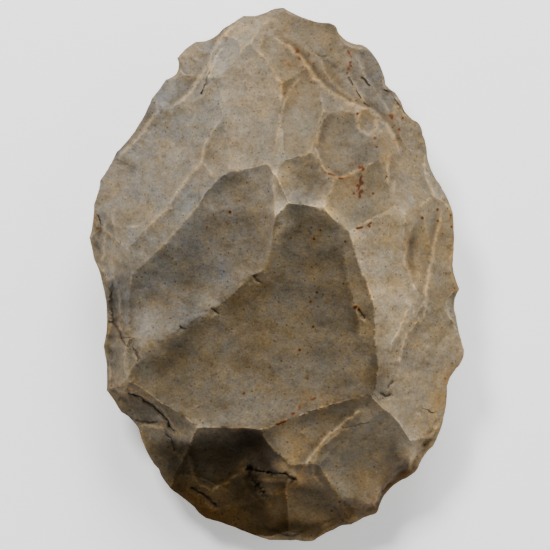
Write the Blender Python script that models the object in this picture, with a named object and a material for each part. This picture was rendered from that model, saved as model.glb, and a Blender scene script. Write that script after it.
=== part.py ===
"""Stone hand axe: a pear-shaped flint core, flaked over both faces to a sharp edge all round.

The axe lies on its lower face, with its point along +Y and the carved upper face up.
It is knapped here as it was in stone. A thick lens-shaped body is struck once for each flake scar,
oldest first, and every scar is a shallow bowl that meets its neighbours in a ridge.
"""
import math
from collections import namedtuple

import bmesh
import bpy
import numpy as np

MM = 0.001  # the sizes below are in millimetres

# ---------------------------------------------------------------- driving sizes
UPPER_RISE = 25.0      # top of the thick body above the middle of the edge
LOWER_DROP = 18.0      # bottom of the thick body below it
EYE_X = 0.0            # plan place of the thickest point
EYE_Y = 8.0
BODY_SHARE = 0.99      # the thick body closes just inside the edge
BODY_OFFSET = 0.3      # its columns stand this part of a step away from the edge's own
UPPER_EDGE = 0.25      # rise per millimetre of the thin lens that carries the edge
LOWER_EDGE = -0.12     # and its fall on the lower face
EDGE_BAND = 8.0        # how far in from the edge that lens keeps rising
EDGE_CLEARANCE = 0.9   # the scars run out this far above the edge
BUTT_SAG = 8.0         # how far the edge dips at the butt
SIDE_TILT = 2.5        # how far the edge rises on the right and dips on the left
REST_CUT = 1.9         # depth of the small flat that the axe lies on
SMOOTHING = 15         # degrees over which the wavy edge is averaged for the body
SCAR_REACH = 2.0       # a scar's cutter goes on to this many times its own outline
WALL_BEND = 1.0        # how softly a wall turns up out of its bowl
WALL_SQUEEZE = 0.1     # a cutter's plan past its wall is drawn in to this share
LARGE_SCAR = 56.0      # a scar longer than this has a cutter with twice as many steps
CUTTER_TOP = 150.0     # height of a cutter's flat top, clear of the stone
FLAT_TOOL = 200.0      # width of the block that cuts the resting flat, and ten times its height
WAVE_START = 0.8       # share of the way out from which the body follows the wavy edge
UPPER_FULLNESS = 2.6   # power of the upper face's profile at the sides
BUTT_FULLNESS = 0.6    # what the butt adds to it and the point takes off
LOWER_FULLNESS = 2.2   # power of the lower face's profile
EDGE_WEIGHT = 3.0      # how much more a rim point on the edge counts than one on the stone
AT_EDGE = 0.999        # a share of the way out above this is the edge itself

# The tips left standing between the small edge flakes, clockwise from the point: x, y, and how far
# the edge bites inward before the next tip. A bite below zero bulges outward.
EDGE_TIPS = [
    (2.0, 70.3, 0.3), (9.0, 67.2, 0.3), (13.5, 66.4, -0.6), (16.0, 64.2, 0.7), (21.0, 60.8, -0.5),
    (24.5, 59.0, -0.8), (28.5, 50.3, 0.2), (30.8, 48.3, -0.4), (33.2, 43.6, 0.3), (36.5, 40.6, -0.5),
    (38.2, 37.0, -0.3), (39.3, 32.0, 0.4), (41.8, 25.3, -0.4), (46.1, 16.5, -0.3), (46.0, 3.0, 0.3),
    (47.8, -3.2, 0.9), (46.9, -10.5, 0.2), (49.0, -19.0, -0.6), (47.0, -24.0, 0.3), (44.6, -28.5, -0.2),
    (44.0, -35.5, -0.4), (41.0, -44.3, 0.5), (37.2, -50.0, -0.3), (33.8, -52.9, 0.2), (30.0, -55.4, 0.5),
    (26.8, -61.2, -0.4), (24.8, -62.6, 0.1), (19.6, -65.2, 0.4), (15.0, -66.6, 0.2), (10.0, -69.4, -0.3),
    (5.0, -69.4, -0.1), (-2.0, -69.3, -0.2), (-11.0, -66.0, 0.1), (-18.5, -63.6, -0.3), (-21.5, -60.8, 0.1),
    (-26.5, -56.8, -0.6), (-31.0, -50.5, -0.4), (-34.8, -44.2, -0.1), (-36.2, -40.0, 0.5),
    (-40.8, -35.5, 0.2), (-44.6, -29.8, 0.1), (-44.5, -23.0, 0.0), (-45.3, -18.2, 0.7), (-45.0, -5.0, 0.4),
    (-47.8, 4.5, 0.0), (-49.0, 10.2, 0.3), (-47.9, 18.8, 0.2), (-46.2, 25.2, 0.2), (-41.8, 32.8, 0.3),
    (-36.2, 39.6, 0.2), (-32.6, 46.8, 0.1), (-29.0, 51.7, 0.2), (-26.4, 53.0, 0.6), (-26.0, 57.2, -0.4),
    (-21.0, 61.5, 1.0), (-14.0, 65.0, 0.1), (-8.6, 68.3, 0.6), (-1.5, 69.8, -0.2),
]

# A flake scar is a bowl over an ellipse in plan: centre, length, width, bearing of the length in
# degrees from +X, and hollow, how far its middle lies below its rim: one number, or one along the
# length and one across it. Its rim follows the stone as it stood, then lean tips the bowl (extra rise
# per millimetre along X and Y) and sink lowers it. Floor replaces that fit with a height and two
# slopes, and wall turns the bowl up past an X place.
Scar = namedtuple("Scar", "name x y length width bearing hollow lean sink floor wall",
                  defaults=((0, 0), 0, None, None))

UPPER_SCARS = [
    Scar("left edge", -42, 5, 28, 15, 84, 1.0),
    Scar("upper middle", -6.5, 40, 50, 25, 70, 2.4, (0.05, 0.03), 0.2),
    Scar("upper left", -32, 36, 60, 33, 55, 2.0, (0.0, 0.03), 0.5),
    Scar("left nick", -28, 49.5, 24, 12, 52, 1.2),
    Scar("left shoulder", -20.5, 59, 20, 10, 40, (1.4, 1.6), (0.05, -0.1)),
    Scar("right shoulder", 27, 52, 26, 14, -58, 1.0),
    Scar("point", 9.5, 65, 34, 16, -22, 1.3, sink=-0.2),
    Scar("upper blade", 7.5, 41, 30, 11, 72, 1.2),
    Scar("sliver", 16, 49, 24, 11, -42, (1.4, 0.9)),
    Scar("right upper edge", 36, 33, 36, 16, -72, 1.4),
    Scar("right upper strip", 32.5, 27, 26, 10, -78, 0.7),
    Scar("summit", 9, 23, 26, 14, 5, 1.2),
    Scar("right of summit", 21, 16.5, 28, 17, 66, 1.2, sink=0.5),
    Scar("right middle", 31.5, -9, 58, 19, 97, 1.2, (0.2, 0), 0.8),
    Scar("right edge", 44, 5, 38, 12, 93, 1.0),
    Scar("oval", 36.5, 7, 18, 8, 85, 0.9),
    Scar("right lower", 44, -27.5, 39, 24, 84, (1.4, 3.0)),
    Scar("left lower edge", -45.5, -14, 34, 9, 95, 0.8),
    Scar("butt right", 17, -48, 34, 24, 47, 2.4, (0, -0.1), 1.0),
    Scar("left strip", -24.5, 11.5, 44, 10, 51, (2.0, 1.6), sink=-0.1),
    Scar("butt edge", -9, -60, 42, 20, 0, 1.4, (0, -0.1), 1.8),
    Scar("butt left", -33, -48, 32, 17, -55, 1.2),
    Scar("main", 0, -19, 84, 64, 8, (1.2, 7.0), floor=(9.8, 0.15, 0.06)),
    Scar("main foot", 8.5, -41, 29, 13, 25, 1.2),
    Scar("left", -25, -2, 68, 30, 37, (2.6, 1.2), floor=(7.9, 0.16, 0.10), wall=(-1.5, 3.0)),
    Scar("left top", -12.5, 20.5, 16, 12, 25, 1.2, sink=-0.75),
    Scar("butt face", -12.5, -48.5, 28, 18, 8, 1.8, (0, 0.05), 0.4),
    Scar("butt corner", 10, -62.5, 24, 16, -40, 1.2),
    Scar("round", 18, 35, 19, 16, 100, 1.4),
    Scar("small pit", 23.7, 40, 7.5, 5.4, 100, 0.6),
]

LOWER_SCARS = [
    Scar("point", 2, 52, 44, 30, 85, 1.4),
    Scar("right upper", 27, 40, 44, 22, -55, 1.4),
    Scar("left upper", -26, 40, 46, 22, 58, 1.4),
    Scar("right side", 34, 6, 44, 28, 90, 1.6),
    Scar("left side", -34, 8, 44, 28, 90, 1.6),
    Scar("right lower", 32, -32, 40, 26, 70, 1.4),
    Scar("left lower", -31, -29, 40, 26, -65, 1.4),
    Scar("right of butt", 13, -54, 34, 24, 20, 0.8, sink=-0.9),
    Scar("left of butt", -12, -52, 34, 24, -15, 0.8, sink=-0.9),
    Scar("upper belly", 3, 18, 54, 32, 65, 1.2),
    Scar("lower belly", -2, -24, 44, 30, 120, 1.2),
]


# ---------------------------------------------------------------- the blank's form
def edge_line(steps, start=0.0):
    """Points of the edge in plan, with each bite as a shallow arc of a few steps from a part step on."""
    points = []
    for (x0, y0, bite), (x1, y1, _) in zip(EDGE_TIPS, EDGE_TIPS[1:] + EDGE_TIPS[:1]):
        chord = math.hypot(x1 - x0, y1 - y0)
        for step in range(steps):
            t = (step + start) / steps
            sag = 4 * bite * t * (1 - t) / chord
            points.append((x0 + t * (x1 - x0) + sag * (y1 - y0), y0 + t * (y1 - y0) - sag * (x1 - x0)))
    return np.array(points)


def edge_radius():
    """The edge's distance from the eye at each half degree, as it is and averaged."""
    arms = edge_line(6) - (EYE_X, EYE_Y)
    bearings = np.arctan2(arms[:, 1], arms[:, 0])
    fine = np.radians(np.arange(0, 360, 0.5))
    wavy = np.interp(fine, bearings[::-1], np.hypot(arms[:, 0], arms[:, 1])[::-1], period=2 * math.pi)
    window = np.hanning(4 * SMOOTHING + 3)
    wrapped = np.concatenate([wavy, wavy, wavy])
    smooth = np.convolve(wrapped, window / window.sum(), mode="same")[len(wavy):2 * len(wavy)]
    return fine, wavy, smooth


BEARINGS, WAVY_RADIUS, SMOOTH_RADIUS = edge_radius()


def share_out(x, y):
    """Share of the way from the eye (0) to the edge (1), the bearing there, and the mean radius."""
    bearing = np.arctan2(y - EYE_Y, x - EYE_X)
    distance = np.hypot(x - EYE_X, y - EYE_Y)
    mean = np.interp(bearing, BEARINGS, SMOOTH_RADIUS, period=2 * math.pi)
    smooth = distance / mean
    wavy = distance / np.interp(bearing, BEARINGS, WAVY_RADIUS, period=2 * math.pi)
    near_edge = np.clip((smooth - WAVE_START) / (1 - WAVE_START), 0, 1)
    return smooth + (wavy - smooth) * near_edge ** 2 * (3 - 2 * near_edge), bearing, mean


def edge_height(bearing):
    """The edge is not flat: it tilts from side to side and dips at the butt."""
    return SIDE_TILT * np.cos(bearing) - BUTT_SAG * np.clip(-np.sin(bearing), 0, 1) ** 5


def upper_body(x, y):
    share, bearing, _ = share_out(x, y)
    edge = edge_height(bearing)
    fullness = UPPER_FULLNESS - BUTT_FULLNESS * np.sin(bearing)
    return edge + (UPPER_RISE - edge) * (1 - (share / BODY_SHARE) ** fullness)


def lower_body(x, y):
    share, bearing, _ = share_out(x, y)
    edge = edge_height(bearing)
    return edge - (LOWER_DROP + edge) * (1 - (share / BODY_SHARE) ** LOWER_FULLNESS)


def edge_lens(x, y, slope):
    """The thin lens that carries the edge: its upper face or, with a slope below zero, its lower one."""
    share, bearing, mean = share_out(x, y)
    return edge_height(bearing) + slope * np.minimum(mean * (1 - share), EDGE_BAND)


# ---------------------------------------------------------------- flake scars
class Bowl:
    """The quadratic surface that one flake leaves."""

    def __init__(self, scar, stone):
        turn = math.radians(scar.bearing)
        self.scar = scar
        self.along = np.array((math.cos(turn), math.sin(turn)))
        self.across = np.array((-math.sin(turn), math.cos(turn)))
        if scar.floor:
            self.floor, *slopes = scar.floor
        else:
            self.floor, *slopes = self.fit_rim(stone)
        self.slope = np.array(slopes)

    def dish(self, x, y):
        """Rise of the hollow above its middle."""
        dx = x - self.scar.x
        dy = y - self.scar.y
        u = (dx * self.along[0] + dy * self.along[1]) / (self.scar.length / 2)
        v = (dx * self.across[0] + dy * self.across[1]) / (self.scar.width / 2)
        hollow_along, hollow_across = np.broadcast_to(self.scar.hollow, 2)
        return hollow_along * u ** 2 + hollow_across * v ** 2

    def at_share(self, share, turn):
        """Plan place at a share of the ellipse's radius and a turn round it."""
        u = share * self.scar.length / 2 * np.cos(turn)
        v = share * self.scar.width / 2 * np.sin(turn)
        x = self.scar.x + u * self.along[0] + v * self.across[0]
        y = self.scar.y + u * self.along[1] + v * self.across[1]
        return x, y

    def fit_rim(self, stone):
        """Floor height and slopes whose rim best follows the stone as it stands."""
        scar = self.scar
        x, y = self.at_share(1, np.radians(np.arange(0, 360, 7.5)))
        overshoot = np.maximum(share_out(x, y)[0], 1)  # rim past the edge is drawn back to it
        x = EYE_X + (x - EYE_X) / overshoot
        y = EYE_Y + (y - EYE_Y) / overshoot
        past = overshoot > 1
        rise = stone(x, y) - self.dish(x, y) + np.where(past, EDGE_CLEARANCE, 0)
        weight = np.where(past, EDGE_WEIGHT, 1.0)
        sides = np.stack([np.ones_like(x), x - scar.x, y - scar.y], axis=1)
        level, slope_x, slope_y = np.linalg.lstsq(sides * weight[:, None], rise * weight, rcond=None)[0]
        return level - scar.sink, slope_x + scar.lean[0], slope_y + scar.lean[1]

    def dished(self, x, y):
        """The bowl without its wall."""
        return (self.floor + self.slope[0] * (x - self.scar.x) + self.slope[1] * (y - self.scar.y)
                + self.dish(x, y))

    def height(self, x, y):
        rise = self.dished(x, y)
        if self.scar.wall:
            wall_x, steepness = self.scar.wall
            rise = rise + steepness / 2 * (x - wall_x + np.hypot(x - wall_x, WALL_BEND))
        return rise


def knap(scars, body):
    """Strike the scars in turn, each fitted to the stone that the earlier ones left."""
    bowls = []

    def stone(x, y):
        return np.min([body(x, y)] + [bowl.height(x, y) for bowl in bowls], axis=0)

    for scar in scars:
        bowls.append(Bowl(scar, stone))
    return bowls


# ---------------------------------------------------------------- Blender objects
def new_collection(name):
    collection = bpy.data.collections.new(name)
    bpy.context.scene.collection.children.link(collection)
    return collection


def sphere_object(name, segments, rings, place, collection):
    """A UV sphere reshaped: place(column, share, side) gives each vertex its point in millimetres."""
    shape = bmesh.new()
    bmesh.ops.create_uvsphere(shape, u_segments=segments, v_segments=rings, radius=1)
    for vertex in shape.verts:
        column = math.atan2(vertex.co.y, vertex.co.x) / (2 * math.pi) * segments
        from_pole = math.acos(min(1, abs(vertex.co.z))) / (math.pi / 2)
        side = -1 if vertex.co.z < -1e-6 else 1
        vertex.co = place(round(column) % segments, from_pole, side)
    bmesh.ops.scale(shape, vec=(MM, MM, MM), verts=shape.verts)
    bmesh.ops.triangulate(shape, faces=shape.faces)
    bmesh.ops.recalc_face_normals(shape, faces=shape.faces)
    mesh = bpy.data.meshes.new(name)
    shape.to_mesh(mesh)
    shape.free()
    result = bpy.data.objects.new(name, mesh)
    collection.objects.link(result)
    return result


def body_place(line):
    """Place function for the lens-shaped body: its columns end just inside the edge line's points."""
    def place(column, share, side):
        x = EYE_X + share * BODY_SHARE * (line[column][0] - EYE_X)
        y = EYE_Y + share * BODY_SHARE * (line[column][1] - EYE_Y)
        if share > AT_EDGE:
            return x, y, edge_height(math.atan2(y - EYE_Y, x - EYE_X))
        return x, y, upper_body(x, y) if side > 0 else lower_body(x, y)
    return place


def lens_place(line):
    """Place function for the edge lens: its one inner ring is where the lens stops rising."""
    def place(column, share, side):
        along = (line[column][0] - EYE_X, line[column][1] - EYE_Y)
        if 1 - AT_EDGE < share < AT_EDGE:
            share = 1 - EDGE_BAND / math.hypot(*along)
        x = EYE_X + share * along[0]
        y = EYE_Y + share * along[1]
        if share > AT_EDGE:
            return x, y, edge_height(math.atan2(along[1], along[0]))
        return x, y, edge_lens(x, y, UPPER_EDGE if side > 0 else LOWER_EDGE)
    return place


def cutter_place(bowl, segments, face):
    """Place function for a scar's cutter: the bowl below and a flat top far above the stone."""
    def place(column, share, side):
        x, y = bowl.at_share(share * SCAR_REACH, 2 * math.pi * column / segments)
        z = bowl.dished(x, y) if side < 0 or share > AT_EDGE else CUTTER_TOP
        if bowl.scar.wall:
            past = max(0, x - bowl.scar.wall[0])
            x -= past * (1 - WALL_SQUEEZE)
        return x, y, face * z
    return place


def cut(target, tool, operation="DIFFERENCE"):
    modifier = target.modifiers.new(tool.name, "BOOLEAN")
    modifier.operation = operation
    modifier.object = tool
    tool.display_type = "WIRE"
    tool.hide_render = True


def strike_scars(stone, scars, body, face, collection):
    """Cut the scars of one face: face is 1 for the upper one and -1 for the lower one."""
    for bowl in knap(scars, body):
        large = bowl.scar.length > LARGE_SCAR
        segments = 32 if large else 16
        rings = 16 if large else 8
        name = ("upper scar, " if face > 0 else "lower scar, ") + bowl.scar.name
        cutter = sphere_object(name, segments, rings, cutter_place(bowl, segments, face), collection)
        cut(stone, cutter)


def flint():
    material = bpy.data.materials.new("patinated flint")
    material.use_nodes = True
    shader = material.node_tree.nodes["Principled BSDF"]
    shader.inputs["Base Color"].default_value = (0.27, 0.22, 0.15, 1)
    shader.inputs["Roughness"].default_value = 0.5
    shader.inputs["Metallic"].default_value = 0
    material.diffuse_color = (0.27, 0.22, 0.15, 1)
    return material


# ---------------------------------------------------------------- the axe
def build():
    for old in list(bpy.data.objects):
        bpy.data.objects.remove(old, do_unlink=True)
    axe_parts = new_collection("Stone hand axe")
    tools = new_collection("Cutters")

    body_line = edge_line(2, BODY_OFFSET)
    line = edge_line(4)
    axe = sphere_object("hand_axe", len(body_line), 16, body_place(body_line), axe_parts)
    strike_scars(axe, UPPER_SCARS, upper_body, 1, tools)
    strike_scars(axe, LOWER_SCARS, lambda x, y: -lower_body(x, y), -1, tools)
    cut(axe, sphere_object("edge lens", len(line), 4, lens_place(line), tools), "UNION")

    # The resting flat: everything below this level goes, and the level becomes the floor.
    rest_level = -(LOWER_DROP - REST_CUT)
    flat = bmesh.new()
    bmesh.ops.create_cube(flat, size=1)
    bmesh.ops.scale(flat, vec=(FLAT_TOOL * MM, FLAT_TOOL * MM, FLAT_TOOL / 10 * MM), verts=flat.verts)
    bmesh.ops.translate(flat, vec=(0, 0, (rest_level - FLAT_TOOL / 20) * MM), verts=flat.verts)
    flat_mesh = bpy.data.meshes.new("resting flat")
    flat.to_mesh(flat_mesh)
    flat.free()
    flat_cutter = bpy.data.objects.new("resting flat", flat_mesh)
    tools.objects.link(flat_cutter)
    cut(axe, flat_cutter)

    # Everything moves together, so that the origin is on the floor under the middle of the outline.
    middle = (line.min(axis=0) + line.max(axis=0)) / 2
    for thing in list(axe_parts.objects) + list(tools.objects):
        thing.location = (-middle[0] * MM, -middle[1] * MM, -rest_level * MM)
    axe.data.materials.append(flint())


build()
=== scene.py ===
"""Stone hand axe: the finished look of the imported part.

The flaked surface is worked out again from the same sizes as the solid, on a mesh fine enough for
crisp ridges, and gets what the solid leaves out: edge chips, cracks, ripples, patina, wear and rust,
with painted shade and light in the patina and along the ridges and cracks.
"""
import math
from collections import namedtuple

import bpy
import numpy as np
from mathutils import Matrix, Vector
from mathutils.geometry import delaunay_2d_cdt
from mathutils.kdtree import KDTree


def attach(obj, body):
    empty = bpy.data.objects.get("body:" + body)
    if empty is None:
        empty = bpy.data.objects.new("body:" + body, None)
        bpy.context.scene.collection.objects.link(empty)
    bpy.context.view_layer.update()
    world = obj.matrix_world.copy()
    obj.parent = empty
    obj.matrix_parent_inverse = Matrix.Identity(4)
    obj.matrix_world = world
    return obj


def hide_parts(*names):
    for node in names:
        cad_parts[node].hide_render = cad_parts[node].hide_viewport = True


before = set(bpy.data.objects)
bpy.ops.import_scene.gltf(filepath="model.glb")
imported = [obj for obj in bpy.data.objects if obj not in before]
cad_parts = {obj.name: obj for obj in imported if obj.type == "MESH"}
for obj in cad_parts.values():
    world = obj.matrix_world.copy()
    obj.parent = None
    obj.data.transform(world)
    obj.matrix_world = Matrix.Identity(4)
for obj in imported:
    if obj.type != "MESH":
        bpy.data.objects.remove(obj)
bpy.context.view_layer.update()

MM = 0.001  # the sizes below are in millimetres

# ---------------------------------------------------------------- sizes shared with the solid
UPPER_RISE = 25.0
LOWER_DROP = 18.0
EYE_X = 0.0
EYE_Y = 8.0
BODY_SHARE = 0.99
UPPER_EDGE = 0.25
LOWER_EDGE = -0.12
EDGE_BAND = 8.0
EDGE_CLEARANCE = 0.9
BUTT_SAG = 8.0
SIDE_TILT = 2.5
REST_CUT = 1.9
SMOOTHING = 15
WALL_BEND = 1.0
WAVE_START = 0.8
UPPER_FULLNESS = 2.6
BUTT_FULLNESS = 0.6
LOWER_FULLNESS = 2.2
EDGE_WEIGHT = 3.0

Scar = namedtuple("Scar", "name x y length width bearing hollow lean sink floor wall",
                  defaults=((0, 0), 0, None, None))

# The tips left standing between the small edge flakes, clockwise from the point: x, y, and how far
# the edge bites inward before the next tip. A bite below zero bulges outward.
EDGE_TIPS = [
    (2.0, 70.3, 0.3), (9.0, 67.2, 0.3), (13.5, 66.4, -0.6), (16.0, 64.2, 0.7), (21.0, 60.8, -0.5),
    (24.5, 59.0, -0.8), (28.5, 50.3, 0.2), (30.8, 48.3, -0.4), (33.2, 43.6, 0.3), (36.5, 40.6, -0.5),
    (38.2, 37.0, -0.3), (39.3, 32.0, 0.4), (41.8, 25.3, -0.4), (46.1, 16.5, -0.3), (46.0, 3.0, 0.3),
    (47.8, -3.2, 0.9), (46.9, -10.5, 0.2), (49.0, -19.0, -0.6), (47.0, -24.0, 0.3), (44.6, -28.5, -0.2),
    (44.0, -35.5, -0.4), (41.0, -44.3, 0.5), (37.2, -50.0, -0.3), (33.8, -52.9, 0.2), (30.0, -55.4, 0.5),
    (26.8, -61.2, -0.4), (24.8, -62.6, 0.1), (19.6, -65.2, 0.4), (15.0, -66.6, 0.2), (10.0, -69.4, -0.3),
    (5.0, -69.4, -0.1), (-2.0, -69.3, -0.2), (-11.0, -66.0, 0.1), (-18.5, -63.6, -0.3), (-21.5, -60.8, 0.1),
    (-26.5, -56.8, -0.6), (-31.0, -50.5, -0.4), (-34.8, -44.2, -0.1), (-36.2, -40.0, 0.5),
    (-40.8, -35.5, 0.2), (-44.6, -29.8, 0.1), (-44.5, -23.0, 0.0), (-45.3, -18.2, 0.7), (-45.0, -5.0, 0.4),
    (-47.8, 4.5, 0.0), (-49.0, 10.2, 0.3), (-47.9, 18.8, 0.2), (-46.2, 25.2, 0.2), (-41.8, 32.8, 0.3),
    (-36.2, 39.6, 0.2), (-32.6, 46.8, 0.1), (-29.0, 51.7, 0.2), (-26.4, 53.0, 0.6), (-26.0, 57.2, -0.4),
    (-21.0, 61.5, 1.0), (-14.0, 65.0, 0.1), (-8.6, 68.3, 0.6), (-1.5, 69.8, -0.2),
]

UPPER_SCARS = [
    Scar("left edge", -42, 5, 28, 15, 84, 1.0),
    Scar("upper middle", -6.5, 40, 50, 25, 70, 2.4, (0.05, 0.03), 0.2),
    Scar("upper left", -32, 36, 60, 33, 55, 2.0, (0.0, 0.03), 0.5),
    Scar("left nick", -28, 49.5, 24, 12, 52, 1.2),
    Scar("left shoulder", -20.5, 59, 20, 10, 40, (1.4, 1.6), (0.05, -0.1)),
    Scar("right shoulder", 27, 52, 26, 14, -58, 1.0),
    Scar("point", 9.5, 65, 34, 16, -22, 1.3, sink=-0.2),
    Scar("upper blade", 7.5, 41, 30, 11, 72, 1.2),
    Scar("sliver", 16, 49, 24, 11, -42, (1.4, 0.9)),
    Scar("right upper edge", 36, 33, 36, 16, -72, 1.4),
    Scar("right upper strip", 32.5, 27, 26, 10, -78, 0.7),
    Scar("summit", 9, 23, 26, 14, 5, 1.2),
    Scar("right of summit", 21, 16.5, 28, 17, 66, 1.2, sink=0.5),
    Scar("right middle", 31.5, -9, 58, 19, 97, 1.2, (0.2, 0), 0.8),
    Scar("right edge", 44, 5, 38, 12, 93, 1.0),
    Scar("oval", 36.5, 7, 18, 8, 85, 0.9),
    Scar("right lower", 44, -27.5, 39, 24, 84, (1.4, 3.0)),
    Scar("left lower edge", -45.5, -14, 34, 9, 95, 0.8),
    Scar("butt right", 17, -48, 34, 24, 47, 2.4, (0, -0.1), 1.0),
    Scar("left strip", -24.5, 11.5, 44, 10, 51, (2.0, 1.6), sink=-0.1),
    Scar("butt edge", -9, -60, 42, 20, 0, 1.4, (0, -0.1), 1.8),
    Scar("butt left", -33, -48, 32, 17, -55, 1.2),
    Scar("main", 0, -19, 84, 64, 8, (1.2, 7.0), floor=(9.8, 0.15, 0.06)),
    Scar("main foot", 8.5, -41, 29, 13, 25, 1.2),
    Scar("left", -25, -2, 68, 30, 37, (2.6, 1.2), floor=(7.9, 0.16, 0.10), wall=(-1.5, 3.0)),
    Scar("left top", -12.5, 20.5, 16, 12, 25, 1.2, sink=-0.75),
    Scar("butt face", -12.5, -48.5, 28, 18, 8, 1.8, (0, 0.05), 0.4),
    Scar("butt corner", 10, -62.5, 24, 16, -40, 1.2),
    Scar("round", 18, 35, 19, 16, 100, 1.4),
    Scar("small pit", 23.7, 40, 7.5, 5.4, 100, 0.6),
]

LOWER_SCARS = [
    Scar("point", 2, 52, 44, 30, 85, 1.4),
    Scar("right upper", 27, 40, 44, 22, -55, 1.4),
    Scar("left upper", -26, 40, 46, 22, 58, 1.4),
    Scar("right side", 34, 6, 44, 28, 90, 1.6),
    Scar("left side", -34, 8, 44, 28, 90, 1.6),
    Scar("right lower", 32, -32, 40, 26, 70, 1.4),
    Scar("left lower", -31, -29, 40, 26, -65, 1.4),
    Scar("right of butt", 13, -54, 34, 24, 20, 0.8, sink=-0.9),
    Scar("left of butt", -12, -52, 34, 24, -15, 0.8, sink=-0.9),
    Scar("upper belly", 3, 18, 54, 32, 65, 1.2),
    Scar("lower belly", -2, -24, 44, 30, 120, 1.2),
]

# ---------------------------------------------------------------- what the solid leaves out
# Small facets between the large scars: the same kind of rows, struck after them.
FACETS = [
    Scar("ridge chip", -6.5, -2.5, 9, 3.4, 40, 0.35),
    Scar("upper left retouch", -39.5, 37, 30, 7, 56, 0.6),
    Scar("shoulder chip", -23.5, 56.5, 7, 4.5, 50, 0.5),
    Scar("tip facet", 0, 59.3, 10, 6, -25, 0.5),
    Scar("high sliver", 18.7, 49.5, 15, 5, -54, 0.5),
    Scar("point chip", 12, 62, 13, 7, -35, 0.5),
    Scar("right strip", 30.6, 31.5, 20, 4.4, -79, 0.45),
    Scar("right nick, high", 27.5, 46, 11, 5, -52, 0.5),
    Scar("right nick, low", 35, 38, 9, 5, -65, 0.45),
    Scar("summit hollow", 8, 24, 10, 7, 20, 0.4),
    Scar("right lower hollow", 40.5, -23, 27, 17, 80, 1.3),
    Scar("left chip, top", -43.4, -6.5, 11, 5, 88, 0.6),
    Scar("left chip, middle", -42.6, -14, 8, 5, 60, 0.5),
    Scar("left facet", -37.6, -21.5, 9, 4.6, 68, 0.5),
    Scar("left chip, low", -42.6, -23, 10, 5, 100, 0.5),
    Scar("step scar", -34.5, -37.5, 19, 9, -38, 1.0),
    Scar("heel ledge", -31.8, -43.6, 8, 6, 20, 0.5),
    Scar("heel chip", -29.5, -49.5, 10, 6, -50, 0.6),
    Scar("butt lower", -13, -57, 16, 7, 24, 0.7),
    Scar("butt ledge", -1.5, -54, 10, 5, -12, 0.7),
    Scar("butt chip, right", 12.5, -60.5, 11, 6, -42, 0.6),
    Scar("butt chip, far right", 20, -61, 8, 6, -25, 0.6),
    Scar("right heel chip", 33, -51.5, 9, 5, 60, 0.5),
]
# Nicks and pits, too small for worn edges.
NICKS = [
    Scar("ridge nick", -5.3, -0.8, 3.2, 1.6, 40, 0.30),
    Scar("ridge nick, left", -16.3, -9.6, 3.0, 1.4, 35, 0.25),
    Scar("right ridge nick", 22.6, -10.6, 2.8, 1.5, -30, 0.25),
    Scar("pit", 37, -35.7, 2.6, 1.8, -10, 0.35),
    Scar("dark spot", -25, -13.7, 1.6, 1.1, 30, 0.25),
    Scar("shoulder pit", -19, 47.6, 2.4, 1.6, 50, 0.35),
]

# Random chips along the edge: how far apart they stand, how long they are, and in shares of their
# own length how wide and how hollow they are.
CHIP_SPACING = 3.1
CHIP_LENGTH = (2.2, 5.5)
CHIP_WIDTH = (0.45, 0.8)
CHIP_HOLLOW = (0.07, 0.12)

# Cracks: width, depth and path.
Crack = namedtuple("Crack", "width depth path")
CRACKS = [Crack(*row) for row in [
    (0.4, 0.8, [(-38.5, -30.6), (-35.8, -31.3), (-33.4, -32.9), (-30.4, -35.2), (-28.3, -37.8),
        (-26.8, -40.3)]),
    (0.45, 0.5, [(-36.5, -38), (-33.4, -38.3), (-31.2, -38)]),
    (0.3, 0.4, [(-28.6, -41.2), (-27, -43.6), (-26.6, -45.4)]),
    (0.3, 0.4, [(-19.5, 47.6), (-18.6, 50.4), (-17.6, 53.8)]),
    (0.3, 0.4, [(22.3, 52.1), (24.2, 49.9)]),
    (0.25, 0.3, [(18.9, 51.6), (19.9, 50)]),
    (0.22, 0.3, [(20.9, 48.2), (21.8, 46.6)]),
    (0.22, 0.3, [(23, 45.2), (24, 44.2)]),
    (0.45, 0.5, [(28.4, 48.7), (30.2, 47.4), (32.3, 44.3), (34.2, 42.9)]),
    (0.35, 0.5, [(26.9, -30.3), (28.2, -31), (29.3, -30.8)]),
    (0.28, 0.3, [(28.9, -28.6), (30, -27.2)]),
    (0.75, 1, [(-6.9, -50.2), (-4.6, -51), (-1.7, -51), (2.2, -51.6), (4.6, -52.8)]),
    (1, 0.9, [(-6.9, -50.4), (-6.4, -52.8), (-4.8, -55.4), (-2.7, -57.8)]),
    (0.45, 0.6, [(-22.1, -55.9), (-18.4, -58), (-15.8, -60.4)]),
    (0.8, 0.7, [(-42.9, -2.2), (-43.4, -5.5), (-43.2, -9), (-42.9, -11.5)]),
    (0.28, 0.4, [(-43.6, -11.7), (-41.5, -13.6), (-40.2, -15.9), (-38.9, -18.3)]),
    (0.2, 0.2, [(-40.2, -16.2), (-37.3, -15.9)]),
    (0.3, 0.3, [(-37.6, -18.4), (-36.4, -20), (-36.2, -22)]),
    (0.35, 0.4, [(-46.7, 16), (-46.1, 13.6)]),
    (0.2, 0.2, [(38.2, -34.3), (40, -35.4), (41.2, -35.6)]),
    (0.25, 0.3, [(-5.9, 0.2), (-4.3, -1.6)]),
    (0.22, 0.3, [(-16.9, -8.3), (-15.2, -9.6)]),
    (0.3, 0.3, [(-25.2, -13), (-24, -13.5)]),
    (0.3, 0.3, [(21.2, -8.6), (22.9, -10.8)]),
    (0.12, 0.1, [(17.5, -39.3), (20.5, -38.6), (24, -37.6)]),
]]
LIP_AWAY = 2.6      # a crack's pale lip, painted light on the ledge beside it, lies this many widths off
LIP_PALENESS = 0.6
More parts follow.
